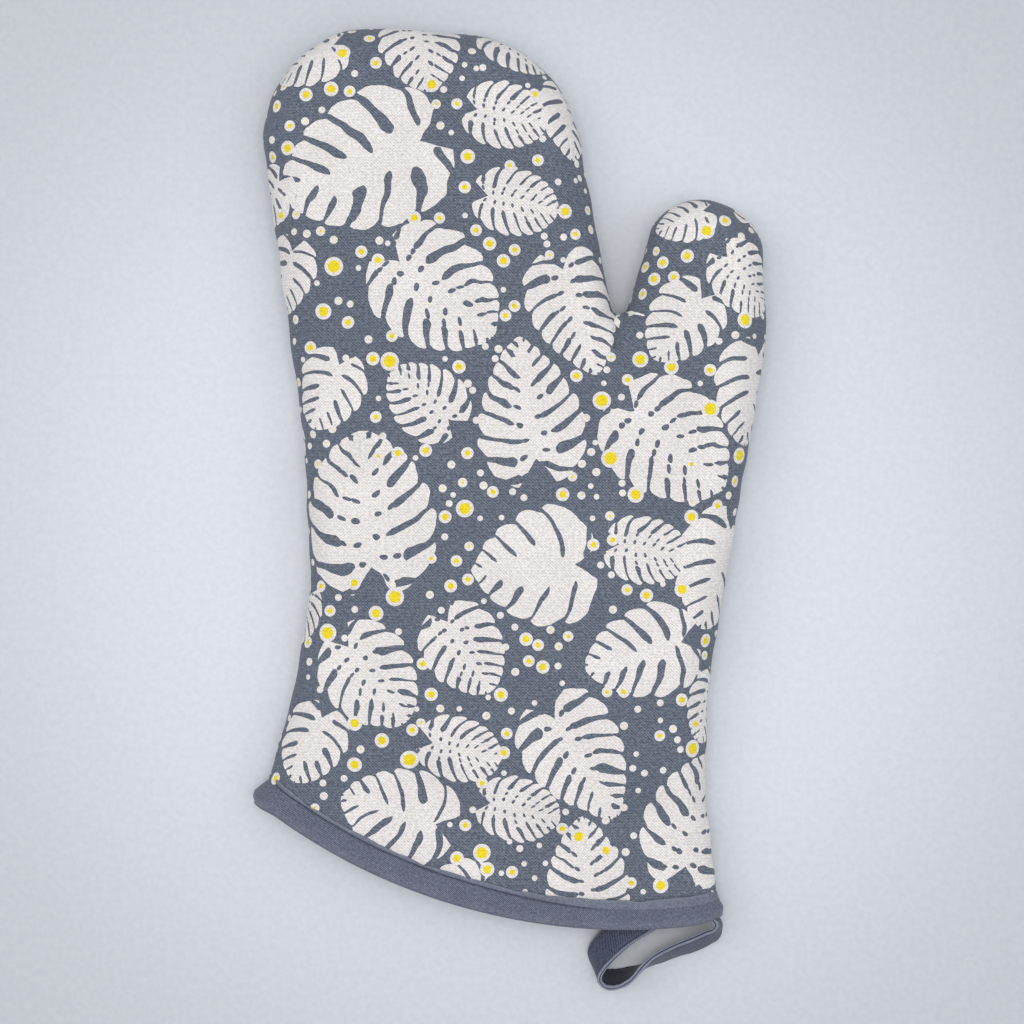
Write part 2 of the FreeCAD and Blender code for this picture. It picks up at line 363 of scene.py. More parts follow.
def seam_gather(points, depth):
    """Small puckers that the side seam pulls into the rounded edge."""
    x, y = points[:, 0], points[:, 1]
    run = np.sin(y / 2.9 + x / 4.3 + 1.1 * np.sin(y / 19.0)) + 0.7 * np.sin(y / 5.1 - x / 3.7 + 0.8)
    return run * np.exp(-((depth - 3.0) / 4.0) ** 2) * 0.17


# ---------------------------------------------------------------- meshes

def make_object(name, verts_mm, faces):
    mesh = bpy.data.meshes.new(name)
    mesh.from_pydata((np.asarray(verts_mm) * MM).tolist(), [], [list(map(int, f)) for f in faces])
    mesh.validate(clean_customdata=False)
    mesh.shade_smooth()
    obj = bpy.data.objects.new(name, mesh)
    bpy.context.scene.collection.objects.link(obj)
    return obj


def vertex_normals(verts, faces):
    tri = verts[faces]
    normal = np.cross(tri[:, 1] - tri[:, 0], tri[:, 2] - tri[:, 0])
    total = np.zeros_like(verts)
    for k in range(3):
        np.add.at(total, faces[:, k], normal)
    return unit_rows(total)


def relax(values, faces, rounds, weight):
    """Averages a per-vertex field with its neighbours."""
    edges = np.concatenate([faces[:, [0, 1]], faces[:, [1, 2]], faces[:, [2, 0]]])
    edges = np.concatenate([edges, edges[:, ::-1]])
    count = np.bincount(edges[:, 0], minlength=len(values)).astype(float)[:, None]
    for _ in range(rounds):
        total = np.zeros_like(values)
        np.add.at(total, edges[:, 0], values[edges[:, 1]])
        values = values * (1 - weight) + weight * total / np.maximum(count, 1)
    return values


def puff(plan, faces, depth):
    """Blows the padded mitt up a little as cloth, held at its seam and hem.
    Returns how each plan vertex moved, for the front and for the back."""
    count = len(plan)
    verts = np.concatenate(padded_faces(plan, depth))
    both = np.concatenate([faces, faces[:, ::-1] + count])
    obj = make_object("padding_sim", verts, both)
    group = obj.vertex_groups.new(name="held")
    on_seam = depth < 0.05
    in_cuff = HEM_RADIUS - from_centre(plan) < PUFF_HEM
    held = np.where(on_seam | in_cuff)[0]
    group.add([int(i) for i in held] + [int(i) + count for i in held], 1.0, "REPLACE")
    cloth = obj.modifiers.new("cloth", "CLOTH")
    cloth.settings.quality = 5
    cloth.settings.mass = 0.15
    cloth.settings.vertex_group_mass = "held"
    cloth.settings.tension_stiffness = 25.0
    cloth.settings.compression_stiffness = 18.0
    cloth.settings.bending_stiffness = 0.6
    cloth.settings.use_pressure = True
    cloth.settings.uniform_pressure_force = 3.0
    cloth.settings.shrink_min = -0.035
    cloth.settings.effector_weights.gravity = 0.0
    cloth.collision_settings.use_collision = False
    cloth.point_cache.frame_start = 1
    cloth.point_cache.frame_end = PUFF_FRAMES + 2
    scene = bpy.context.scene
    for frame in range(1, PUFF_FRAMES + 1):
        scene.frame_set(frame)
    solved = obj.evaluated_get(bpy.context.evaluated_depsgraph_get())
    result = np.empty(len(verts) * 3)
    solved.data.vertices.foreach_get("co", result)
    result = result.reshape(-1, 3) / MM
    scene.frame_set(1)
    bpy.data.objects.remove(obj, do_unlink=True)
    moved = result - verts
    size = np.linalg.norm(moved, axis=1)[:, None]
    moved *= PUFF_LIMIT * np.tanh(size / PUFF_LIMIT) / np.maximum(size, 1e-9)
    return moved[:count], moved[count:]


def carry_over(points, plan, faces, field):
    """The field of a coarse plan mesh, read at other plan points."""
    flat = np.column_stack([plan, np.zeros(len(plan))])
    tree = BVHTree.FromPolygons(flat.tolist(), faces.tolist())
    hit = np.empty(len(points), int)
    for i, p in enumerate(points):
        hit[i] = tree.find_nearest((p[0], p[1], 0.0))[2]
    a, b, c = plan[faces[hit, 0]], plan[faces[hit, 1]], plan[faces[hit, 2]]
    v0, v1, v2 = b - a, c - a, points - a
    area = v0[:, 0] * v1[:, 1] - v0[:, 1] * v1[:, 0]
    s = (v2[:, 0] * v1[:, 1] - v2[:, 1] * v1[:, 0]) / area
    t = (v0[:, 0] * v2[:, 1] - v0[:, 1] * v2[:, 0]) / area
    s, t = np.clip(s, 0, 1)[:, None], np.clip(t, 0, 1)[:, None]
    return field[faces[hit, 0]] * (1 - s - t) + field[faces[hit, 1]] * s + field[faces[hit, 2]] * t


# ---------------------------------------------------------------- the print

LEAF_BACK = 0.24          # how far a leaf's lobes reach back past its stem, in leaf lengths
LEAF_SPAN = 1.24          # so from lobe to tip
LEAF_MIDDLE = 0.38        # and from the stem to the middle
TURNED_Y = 20.0           # sum of a print point's y on the cloth and on the turned cloth
SCATTERED = 4200          # small dots tried

# Leaf kinds: side lobes, half width, slit width, where slits start, holes near the midrib, and
# how pointed the tip is.
LEAF_KINDS = {
    "A": (6.2, 0.50, 0.18, 0.16, 0.0, 0.66),
    "B": (7.2, 0.50, 0.20, 0.34, 1.0, 0.60),
    "C": (8.2, 0.45, 0.20, 0.40, 1.0, 0.50),
    "D": (8.2, 0.46, 0.22, 0.24, 1.0, 0.78),
    "E": (6.2, 0.50, 0.20, 0.18, 0.0, 0.58),
    "H": (5.2, 0.63, 0.15, 0.24, 0.0, 0.72),
}

# Leaves of the printed repeat: kind, x, y of the leaf's middle, length, direction of its tip.
LEAVES = [
    ("A", -53, 124, 64, 202), ("B", -33, 167, 36, 280), ("A", -74, 164, 32, 205),
    ("B", 2, 169, 30, 320), ("C", -3, 141, 31, -12), ("C", 1, 110, 31, -12),
    ("A", 22, 142, 32, 275), ("B", -27, 78, 52, -38), ("D", 23, 71, 48, -72),
    ("A", -83, 84, 30, 250), ("E", -66, 43, 31, 245), ("B", -31, 39, 33, 140),
    ("D", 6, 35, 55, 97), ("B", -52, -2, 60, 94), ("H", 8, -21, 45, 184),
    ("B", 56, 24, 52, -42), ("C", 48, -15, 31, -12), ("A", 76, -22, 46, 250),
    ("B", -51, -61, 42, -52), ("B", -17, -51, 36, -58), ("E", -73, -85, 31, 245),
    ("C", -19, -87, 31, -14), ("A", -41, -111, 44, 163), ("C", 2, -109, 31, -12),
    ("A", 47, -52, 43, 196), ("D", 24, -90, 52, -58), ("B", 74, -72, 28, 250),
    ("B", 68, -114, 50, 74), ("D", 27, -133, 44, 95), ("A", 61, 67, 34, 232),
    ("C", 84, 83, 31, -48), ("A", 62, 105, 24, 200), ("A", 88, 42, 40, 262),
    ("B", -80, -38, 24, 240), ("A", -90, 112, 26, 230), ("A", -20, -140, 30, 200),
    ("A", -88, 20, 24, 260), ("E", 92, 112, 22, 60), ("A", -64, -138, 34, 120),
]

# Larger dots that catch the eye: x, y, outer radius.
DOTS = [
    (-61, 164, 2.9), (-74, 149, 2.4), (-65, 151, 2.6), (-86, 146, 2.3), (-80, 138, 2.0),
    (-81, 130, 2.6), (-29, 152, 2.8), (-20, 145, 2.0), (-16, 126, 2.6), (-17, 115, 2.2),
    (-35, 104, 2.4), (-26, 104, 2.0), (9, 125, 2.1), (19, 107, 2.6), (23, 99, 2.0),
    (-8, 95, 2.4), (1, 93, 2.1), (-3, 89, 2.4), (-64, 87, 3.35), (-54, 92, 2.2),
    (-48, 89, 2.3), (-68, 71, 2.9), (-59, 67, 2.3), (-50, 54, 2.4), (-44, 53, 3.3),
    (1, 73, 2.1), (-19, 51, 2.4), (23, 48, 2.3), (32, 39, 3.3), (70, 100, 2.9),
    (77, 104, 2.3), (63, 91, 2.4), (54, 89, 2.3), (51, 83, 2.4), (46, 78, 2.1),
    (84, 68, 3.1), (46, 54, 2.9), (57, 51, 2.6), (71, 50, 2.2), (71, 36, 3.3),
    (35, 18, 3.4), (44, 5, 2.9), (18, 5, 2.4), (-7, 6, 2.1), (-17, 0, 3.2),
    (-24, -3, 2.3), (-16, 20, 2.2), (-31, 21, 2.3), (-41, 20, 2.3), (-49, 33, 2.1),
    (64, -3, 2.6), (74, 1, 2.2), (83, 19, 3.0), (29, -13, 2.2), (61, -29, 2.8),
    (48, -31, 2.4), (41, -29, 2.0), (5, -47, 2.4), (20, -46, 1.9), (71, -48, 2.5),
    (-57, -27, 2.5), (-42, -32, 3.3), (-49, -38, 2.7), (-67, -45, 3.3), (-66, -37, 2.1),
    (-29, -18, 1.9), (-20, -19, 2.1), (-22, -28, 2.3), (-32, -56, 2.2), (-29, -67, 2.4),
    (-57, -78, 2.7), (-36, -80, 2.2), (-47, -84, 2.6), (-37, -91, 3.4), (-57, -93, 2.7),
    (11, -57, 2.4), (-4, -67, 2.5), (-3, -88, 2.3), (34, -66, 1.9), (40, -66, 2.1),
    (66, -87, 3.2), (67, -78, 2.3), (61, -69, 2.3), (53, -82, 2.0), (-17, -115, 2.2),
    (-11, -125, 3.2), (-20, -127, 2.5), (-9, -131, 2.6), (0, -132, 2.2), (18, -116, 2.2),
    (24, -119, 2.9), (34, -124, 2.5), (54, -137, 2.8), (-88, -98, 2.3), (-1, 123, 1.9),
    (-48, 19, 1.8), (64, 16, 1.9), (-73, 58, 2.3), (-85, 106, 2.4), (8, 149, 2.2),
]


def leaf_margin(x, y, kind, grow=1.0):
    """Positive inside a leaf's outline, in leaf lengths from its stem."""
    half_width, tip = LEAF_KINDS[kind][1] * grow, LEAF_KINDS[kind][5]
    t = np.clip((x + LEAF_BACK) / LEAF_SPAN, 0.0, 1.0)
    width = half_width * t ** 0.42 * (1.0 - t) ** tip / 0.49
    notch = np.maximum(-x - 0.02, 0.0) * 0.6
    inside = np.minimum(width - np.abs(y), np.abs(y) - notch + (x > -0.02))
    return np.where((x > -LEAF_BACK) & (x < 1.0), inside, -1.0)


def leaf_table(turned):
    """Stem x, y, length, tip direction and kind of each leaf.  The back panel is cut from the
    same cloth turned half round."""
    rows = []
    for kind, x, y, length, degrees in LEAVES:
        angle = math.radians(degrees)
        if turned:
            x, y, angle = -x, TURNED_Y - y, angle + math.pi
        reach = length / LEAF_SPAN
        stem_x = x - math.cos(angle) * reach * LEAF_MIDDLE
        stem_y = y - math.sin(angle) * reach * LEAF_MIDDLE
        rows.append((stem_x, stem_y, reach, angle, kind))
    return rows


def leaf_local(points, x, y, reach, angle):
    """Points in a leaf's own frame, in leaf lengths: along its midrib, and across it."""
    dx, dy = (points[..., 0] - x) / reach, (points[..., 1] - y) / reach
    return dx * np.cos(angle) + dy * np.sin(angle), dy * np.cos(angle) - dx * np.sin(angle)


def dot_table(leaves, turned):
    """The placed dots, then small ones scattered over the ground between the leaves."""
    rng = np.random.default_rng(7 if turned else 3)
    dots = [(-x, TURNED_Y - y, r) if turned else (float(x), float(y), r) for x, y, r in DOTS]
    tries = rng.uniform((-100, -165), (100, 185), (SCATTERED, 2))
    radii = rng.choice([1.0, 1.25, 1.45, 1.7, 2.1], SCATTERED, p=[0.24, 0.28, 0.22, 0.16, 0.10])
    margin = np.full(len(tries), -9.0)
    for leaf in leaves:
        inside = leaf_margin(*leaf_local(tries, *leaf[:4]), leaf[4]) * leaf[2]
        margin = np.maximum(margin, inside)
    for p, r, m in zip(tries, radii, margin):
        if m > -0.3 or rng.random() > 0.5:
            continue
        placed = np.array(dots)
        gap = (np.hypot(p[0] - placed[:, 0], p[1] - placed[:, 1]) - placed[:, 2]).min()
        if gap > r + (1.9 if rng.random() < 0.85 else 0.1):
            dots.append((p[0], p[1], float(r)))
    return dots


def corner_vectors(mesh, name, values):
    layer = mesh.attributes.new(name, "FLOAT_VECTOR", "CORNER")
    layer.data.foreach_set("vector", np.ascontiguousarray(values, dtype=np.float32).ravel())


def lay_print(obj, flat, faces, turned):
    """Gives each face corner its place in the nearest two leaves and the nearest two dots."""
    mesh = obj.data
    corners = flat[faces]
    centres = corners.mean(1)
    leaves = leaf_table(turned)
    nearness = np.empty((len(leaves), len(faces)))
    for k, leaf in enumerate(leaves):
        along, across = leaf_local(centres, *leaf[:4])
        nearness[k] = leaf_margin(along, across, leaf[4], 1.15) * leaf[2]
        far = np.hypot(along - LEAF_MIDDLE, across) * leaf[2]
        nearness[k] = np.where(nearness[k] <= -0.99 * leaf[2], -far, nearness[k])
    order = np.argsort(-nearness, axis=0)[:2]
    table = np.array([leaf[:4] for leaf in leaves])
    kinds = np.array([LEAF_KINDS[leaf[4]] for leaf in leaves])
    for k, tag in enumerate(("a", "b")):
        pick = order[k]
        along, across = leaf_local(corners, *(table[pick, i][:, None] for i in range(4)))
        number = np.broadcast_to(pick[:, None] * 1.0, along.shape)
        local = np.stack([along, across, number], -1)
        corner_vectors(mesh, "leaf_" + tag, local)
        kind = kinds[pick][:, None]
        corner_vectors(mesh, "shape_" + tag, np.broadcast_to(kind[..., :3], local.shape))
        corner_vectors(mesh, "more_" + tag, np.broadcast_to(kind[..., 3:], local.shape))
    dots = np.array(dot_table(leaves, turned))
    gap = np.empty((len(dots), len(faces)), np.float32)
    for k, (x, y, r) in enumerate(dots):
        gap[k] = np.hypot(centres[:, 0] - x, centres[:, 1] - y) - r
    order = np.argpartition(gap, 2, axis=0)[:2]
    for k, tag in enumerate(("a", "b")):
        pick = dots[order[k]]
        local = np.stack([corners[..., 0] - pick[:, None, 0], corners[..., 1] - pick[:, None, 1],
                          np.broadcast_to(pick[:, None, 2], corners.shape[:2])], -1)
        corner_vectors(mesh, "dot_" + tag, local)
    cloth = np.concatenate([corners, np.zeros(corners.shape[:2] + (1,))], -1)
    corner_vectors(mesh, "cloth", cloth)


# ---------------------------------------------------------------- materials

def feed(socket, value):
    """Links a value to a node's input, or sets the input to a plain number or colour."""
    if isinstance(value, Value):
        socket.id_data.links.new(value.socket, socket)
    else:
        socket.default_value = value


def make_math(tree, operation, *terms):
    made = tree.nodes.new("ShaderNodeMath")
    made.operation = operation
    for socket, term in zip(made.inputs, terms):
        feed(socket, term)
    return Value(made.outputs[0])


class Value:
    """An output in a node tree.  Arithmetic on it makes Math nodes, and a comparison is 0 or 1."""

    def __init__(self, socket):
        self.socket = socket

    def math(self, operation, *others):
        return make_math(self.socket.id_data, operation, self, *others)

    def __add__(self, other):
        return self.math("ADD", other)

    def __sub__(self, other):
        return self.math("SUBTRACT", other)

    def __rsub__(self, other):
        return make_math(self.socket.id_data, "SUBTRACT", other, self)

    def __mul__(self, other):
        return self.math("MULTIPLY", other)

    def __truediv__(self, other):
        return self.math("DIVIDE", other)

    def __pow__(self, other):
        return self.math("POWER", other)

    def __lt__(self, other):
        return self.math("LESS_THAN", other)

    def __gt__(self, other):
        return self.math("GREATER_THAN", other)

    def clamped(self):
        """The same sum, held between 0 and 1."""
        self.socket.node.use_clamp = True
        return self

    def wave(self):
        """A 0 to 1 wave with this as its phase, in turns."""
        return (self * (2 * math.pi)).math("SINE") * 0.5 + 0.5


class Tree:
    """Short hand for building a node tree."""

    def __init__(self, tree):
        self.tree = tree

    def node(self, kind, **inputs):
        made = self.tree.nodes.new(kind)
        for name, value in inputs.items():
            feed(made.inputs[name.replace("_", " ")], value)
        return made

    def split(self, vector):
        return [Value(part) for part in self.node("ShaderNodeSeparateXYZ", Vector=vector).outputs]

    def join(self, x, y, z):
        return Value(self.node("ShaderNodeCombineXYZ", X=x, Y=y, Z=z).outputs[0])

    def attribute(self, name):
        made = self.tree.nodes.new("ShaderNodeAttribute")
        made.attribute_name = name
        return Value(made.outputs["Vector"])

    def place(self):
        """Where a point lies on its object, in metres."""
        return Value(self.tree.nodes.new("ShaderNodeTexCoord").outputs["Object"])

    def ramp(self, value, low, high, to_low=0.0, to_high=1.0):
        made = self.node("ShaderNodeMapRange", Value=value, From_Min=low, From_Max=high,
                         To_Min=to_low, To_Max=to_high)
        made.interpolation_type = "SMOOTHSTEP"
        return Value(made.outputs[0])

    def mix(self, factor, a, b, blend="MIX"):
        made = self.tree.nodes.new("ShaderNodeMix")
        made.data_type = "RGBA"
        made.blend_type = blend
        feed(made.inputs[0], factor)
        feed(made.inputs[6], a)
        feed(made.inputs[7], b)
        return Value(made.outputs[2])

    def shade(self, colour, amount):
        return self.mix(1.0, colour, self.join(amount, amount, amount), "MULTIPLY")

    def noise(self, vector, scale, detail=2.0, rough=0.5):
        made = self.node("ShaderNodeTexNoise", Vector=vector, Scale=scale, Detail=detail,
                         Roughness=rough)
        return Value(made.outputs[0])


def linear(r, g, b):
    """Linear colour of an sRGB one given in 0 to 255."""
    def one(v):
        v /= 255.0
        return v / 12.92 if v <= 0.04045 else ((v + 0.055) / 1.055) ** 2.4
    return one(r), one(g), one(b), 1.0


def new_material(name):
    material = bpy.data.materials.new(name)
    material.use_nodes = True
    tree = material.node_tree
    tree.nodes.clear()
    output = tree.nodes.new("ShaderNodeOutputMaterial")
    surface = tree.nodes.new("ShaderNodeBsdfPrincipled")
    tree.links.new(surface.outputs[0], output.inputs[0])
    return material, Tree(tree), surface


def finish_material(t, surface, colour, roughness, specular=0.5, sheen=0.0, bump=None):
    """Feeds a surface.  The bump is its height, its strength and its depth in metres."""
    feed(surface.inputs["Base Color"], colour)
    surface.inputs["Roughness"].default_value = roughness
    surface.inputs["Specular IOR Level"].default_value = specular
    surface.inputs["Sheen Weight"].default_value = sheen
    if bump:
        height, strength, distance = bump
        made = t.node("ShaderNodeBump", Height=height, Strength=strength, Distance=distance)
        feed(surface.inputs["Normal"], Value(made.outputs[0]))


def leaf_group():
    """Coverage of one split leaf, from its local frame and its kind."""
    group = bpy.data.node_groups.new("split_leaf", "ShaderNodeTree")
    for name in ("Local", "Shape", "More", "Cloth"):
        group.interface.new_socket(name, in_out="INPUT", socket_type="NodeSocketVector")
    group.interface.new_socket("Cover", in_out="OUTPUT", socket_type="NodeSocketFloat")
    t = Tree(group)
    local, shape, more, cloth = [Value(s) for s in group.nodes.new("NodeGroupInput").outputs[:4]]
    result = group.nodes.new("NodeGroupOutput")
    x, y, number = t.split(local)
    number = number.math("ROUND")
    lobes, half_width, slit = t.split(shape)
    depth, holes, tip = t.split(more)
    # A slow wobble, as of a hand-drawn outline.
    wobble = (t.noise(cloth, 0.10, 1.0) - 0.5) * 0.09
    ripple = (t.noise(cloth, 0.26, 1.0) - 0.5) * 0.02
    x = x + wobble
    y = y + ripple - wobble * 0.6
    across = y.math("ABSOLUTE")
    side = y > 0.0
    along = ((x + LEAF_BACK) / LEAF_SPAN).clamped()
    width = along ** 0.42 * (1.0 - along) ** tip * (half_width / 0.49)
    width = width.math("MAXIMUM", 0.0001)
    # Side veins fan out from the midrib and curve towards the tip; vein is constant along one.
    curved = x - across * across * 0.95
    vein = (across * 0.42 + curved) / (across * 1.75 + 1.0)
    place = (vein + 0.1) * lobes + side * 0.37 + number * 0.173
    off = (place.math("FRACT") - 0.5).math("ABSOLUTE")
    seed = t.node("ShaderNodeTexWhiteNoise", Vector=t.join(place.math("FLOOR"), side * 7.0, number))
    random = Value(seed.outputs["Value"])
    random2 = t.split(Value(seed.outputs["Color"]))[1]
    # A slit starts part of the way out and is widest soon after.
    ratio = across / width
    inner = depth + (random - 0.4) * 0.34
    run = ((ratio - inner) / (1.0 - inner)).clamped()
    opening = (run * 7.0).clamped().math("SQRT") * (1.0 - run * 0.66)
    opening = opening * (slit * (random2 * 0.7 + 0.68))
    open_here = (off < opening) * (run > 0.0)
    # Lobe ends are rounded: the margin draws in towards each slit.
    near_slit = 1.0 - off * 2.0
    lean = (place + 0.5).math("FRACT") - 0.5
    margin = 1.0 - near_slit ** 2.5 * 0.13 + lean * 0.1
    notch = (x * -1.0 - 0.02) * 0.75
    inside = (ratio < margin) * (x > -LEAF_BACK) * (x < 1.0) * (across > notch)

    def spots(half_long, middle, half_wide):
        """Oval holes in the line of the slits, at one distance from the midrib."""
        return (off / half_long) ** 2.0 + ((across - middle) / half_wide) ** 2.0 < 1.0

    # Small holes along the midrib, and dashes further out on the ferny kinds.
    pierced = spots(0.15, random * 0.05 + 0.055, 0.032) * holes
    dashed = spots(0.12, random2 * 0.07 + 0.145, 0.03) * holes * (random > 0.35)
    cut = open_here.math("MAXIMUM", pierced.math("MAXIMUM", dashed))
    feed(result.inputs[0], inside * (1.0 - cut))
    return group


def weave(t, cloth, pitch_u, pitch_v):
    """Height of a plain canvas weave, 0 to 1, with uneven threads."""
    u, v, _ = t.split(cloth)
    shift = (t.noise(cloth, 0.35, 2.0) - 0.5) * 0.5
    warp = ((u + shift) / pitch_u).wave()
    weft = ((v + shift) / pitch_v).wave()
    cross = warp * weft + (1.0 - warp) * (1.0 - weft)
    return cross * 0.7 + weft * 0.3


def canvas_material():
    material, t, surface = new_material("printed_canvas")
    cloth = t.attribute("cloth")
    height = weave(t, cloth, 1.15, 1.05)
    fibre = t.noise(cloth, 0.85, 2.0, 0.8)
    u, v, _ = t.split(cloth)
    wander = t.noise(cloth, 0.8, 2.0) * 1.6
    slant = ((u + v) / 1.2 + wander).wave() * t.noise(cloth, 1.1, 2.0, 0.6)
    mottle = height * 0.3 + fibre * 0.75 + slant * 0.3
    ground = t.mix(t.ramp(mottle, 0.42, 0.80), linear(71, 77, 90), linear(116, 122, 135))
    white = t.mix(t.ramp(mottle, 0.40, 0.78), linear(197, 192, 189), linear(233, 229, 227))
    yellow = t.mix(t.ramp(mottle, 0.38, 0.78), linear(208, 184, 33), linear(238, 216, 46))
    group = leaf_group()
    covers = []
    for tag in ("a", "b"):
        made = t.tree.nodes.new("ShaderNodeGroup")
        made.node_tree = group
        for socket, source in zip(made.inputs, ("leaf_", "shape_", "more_")):
            feed(socket, t.attribute(source + tag))
        feed(made.inputs[3], cloth)
        covers.append(Value(made.outputs[0]))
    colour = t.mix(covers[0].math("MAXIMUM", covers[1]), ground, white)
    # Threads take the ink unevenly right at a dot's edge.
    bleed = (fibre - 0.5) * 0.35
    for tag in ("a", "b"):
        dx, dy, radius = t.split(t.attribute("dot_" + tag))
        gap = (dx * dx + dy * dy).math("SQRT") + bleed
        centre = (radius - YELLOW_RING) * (radius > YELLOW_FROM)
        colour = t.mix(gap < radius, colour, white)
        colour = t.mix(gap < centre, colour, yellow)
    colour = t.shade(colour, t.ramp(t.noise(cloth, 0.045, 3.0), 0.3, 0.7, 0.95, 1.03))
    bump = (height * 0.6 + mottle * 0.6, 0.35, THREAD_RELIEF)
    finish_material(t, surface, colour, 0.88, 0.25, 0.12, bump)
    return material


def twill_material(name, dark, light, pitch=0.62):
    """Twill tape.  The third cloth coordinate is 1 where a painted highlight makes it pale, -1 where
    painted shade makes it dark.
    """
    material, t, surface = new_material(name)
    cloth = t.attribute("cloth")
    u, v, highlight_and_shade = t.split(cloth)
    shift = (t.noise(cloth, 0.5, 2.0) - 0.5) * 0.7
    line = ((u + v * 0.8 + shift) / pitch).wave()
    thread = ((v - u * 0.25) / (pitch * 0.55)).wave()
    fibre = t.noise(cloth, 1.1, 2.0, 0.75)
    height = line * 0.65 + thread * 0.35
    mottle = height * 0.45 + fibre * 0.55
    colour = t.mix(t.ramp(mottle, 0.3, 0.72), dark, light)
    # Painted highlight: paler threads along the folds, where the light catches them.
    pale = highlight_and_shade.math("MAXIMUM", 0.0) * t.ramp(mottle, 0.2, 0.7, 0.35, 0.9)
    colour = t.mix(pale, colour, linear(150, 154, 170))
    # Painted shade: near-black where grooves and the loop's inside lie in shadow.
    colour = t.mix((highlight_and_shade * -1.0).math("MAXIMUM", 0.0), colour, linear(13, 18, 38))
    colour = t.shade(colour, t.ramp(t.noise(cloth, 0.09, 2.0), 0.3, 0.7, 0.93, 1.05))
    bump = (height + fibre * 0.5, 0.4, THREAD_RELIEF)
    finish_material(t, surface, colour, 0.86, 0.25, 0.15, bump)
    return material


def wadding_material():
    material, t, surface = new_material("wadding")
    fluff = t.noise(t.place(), 900.0, 5.0, 0.7)
    colour = t.mix(fluff, linear(222, 218, 208), linear(246, 244, 238))
    finish_material(t, surface, colour, 1.0, sheen=0.3, bump=(fluff, 0.5, 0.0004))
    return material


def thread_material():
    material, t, surface = new_material("thread")
    strand = t.noise(t.place(), 2600.0, 2.0, 0.6)
    # The thread is painted darker than the tape, as painted shade of the sunken stitch line.
    colour = t.mix(strand, linear(48, 52, 66), linear(80, 84, 98))
    finish_material(t, surface, colour, 0.7, sheen=0.1)
    return material


def table_material():
    material, t, surface = new_material("table_paper")
    place = t.place()
    grain = t.noise(place, 420.0, 4.0, 0.6)
    cloud = t.noise(place, 2.2, 2.0, 0.5)
    x, y, _ = t.split(place)
    away = (x * x + y * y).math("SQRT")
    colour = t.mix(t.ramp(grain, 0.3, 0.7), linear(208, 211, 218), linear(214, 217, 223))
    # Painted light: the paper is painted darker away from the middle, a pool of light painted round
    # the mitt, over a random mottle.
    mottle_and_light_falloff = t.ramp(cloud, 0.3, 0.7, 0.985, 1.01) * t.ramp(away, 0.10, 0.27, 1.0, 0.76)
    finish_material(t, surface, t.shade(colour, mottle_and_light_falloff), 0.75, 0.2, bump=(grain, 0.12, 0.0002))
    return material


# ---------------------------------------------------------------- panels

def add_normals(obj, normals, vertex_ids):
    obj.data.normals_split_custom_set_from_vertices(normals[vertex_ids].tolist())


def pick_faces(verts, faces, chosen):
    """The chosen faces with only the vertices they use, and those vertices' old numbers."""
    used = np.unique(faces[chosen])
    renumber = np.full(len(verts), -1)
    renumber[used] = np.arange(len(used))
    return verts[used], renumber[faces[chosen]], used


def bend_piece(obj, part):
    """Bakes a piece's placement into its mesh."""
    part == "thumb"
    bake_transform(obj)


def surface_points(plan, depth, moved_front, moved_back, faces):
    """Front and back outer faces over the plan, with padding, creases and seam groove."""
    middle = HALF_THICKNESS * fullness(plan)
    height = half_height(plan, depth)
    inner = smooth(depth / 14.0)
    _, outward = edge_distance(plan)
    phi = np.degrees(np.arccos(np.clip(1.0 - depth / EDGE_ROUND, -1, 1)))
    groove = SEAM_GROOVE * np.clip(1.0 - phi / 22.0, 0.0, 1.0) ** 2
    gather = seam_gather(plan, depth)
    sides = []
    for sign, moved, phase in ((1.0, moved_front, 0.4), (-1.0, moved_back, 2.9)):
        shift = relax(moved, faces, 6, 0.6)
        z = middle + sign * height
        z = z + shift[:, 2] * inner + sign * 0.45 * soft_waves(plan, phase) * inner
        z = z - sign * crotch_creases(plan)
        push = -outward * groove[:, None] + outward * (gather * (1.0 + 0.6 * sign))[:, None]
        xy = plan + push + shift[:, :2] * inner[:, None] * 0.5
        if sign < 0:
            z = np.maximum(z, 0.15 + 0.25 * np.maximum(soft_waves(plan, 5.0), 0.0))
        else:
            z = np.maximum(z, middle * 0.9)
        z = np.where(depth < 0.01, middle, z)
        sides.append(np.column_stack([xy, z]))
    return sides


def flat_points(plan, depth):
    """Where each point lay on the flat cloth before it was rounded over the edge."""
    _, outward = edge_distance(plan)
    q = np.clip(1.0 - depth / EDGE_ROUND, 0.0, 1.0)
    extra = EDGE_ROUND * (np.arcsin(q) - q)
    return plan + outward * extra[:, None]


def padded_plan():
    coarse = plan_mesh(0.0, 3.6, HEM_RADIUS - SHELL_HEM, 5, False)
    return (coarse[0], coarse[1]) + puff(*coarse)


def read_padding(plan, padding):
    """Front and back swelling at the given plan points."""
    if padding is None:
        still = np.zeros((len(plan), 3))
        return still, still
    return [carry_over(plan, padding[0], padding[1], field) for field in padding[2:]]


def build_shells(materials, padding):
    plan, faces, depth = plan_mesh(0.0, 1.7, HEM_RADIUS - SHELL_HEM, 9, True)
    front_shift, back_shift = read_padding(plan, padding)
    front, back = surface_points(plan, depth, front_shift, back_shift, faces)
    flat = flat_points(plan, depth)
    thumb = on_thumb(plan[faces].mean(1))
    for side, verts, turned in (("front", front, False), ("back", back, True)):
        side_faces = faces if side == "front" else faces[:, ::-1]
        normals = vertex_normals(verts, side_faces)
        for part, chosen in (("hand", ~thumb), ("thumb", thumb)):
            own, own_faces, used = pick_faces(verts, side_faces, chosen)
            obj = make_object("canvas_%s_%s" % (side, part), own, own_faces)
            lay_print(obj, flat[used], own_faces, turned)
            add_normals(obj, normals, used)
            obj.data.materials.append(materials["canvas"])
            bend_piece(obj, part)
            names = ["thumb"] if part == "thumb" else ["palm", "fingers"]
            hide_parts(*["shell_%s_%s" % (side, n) for n in names])


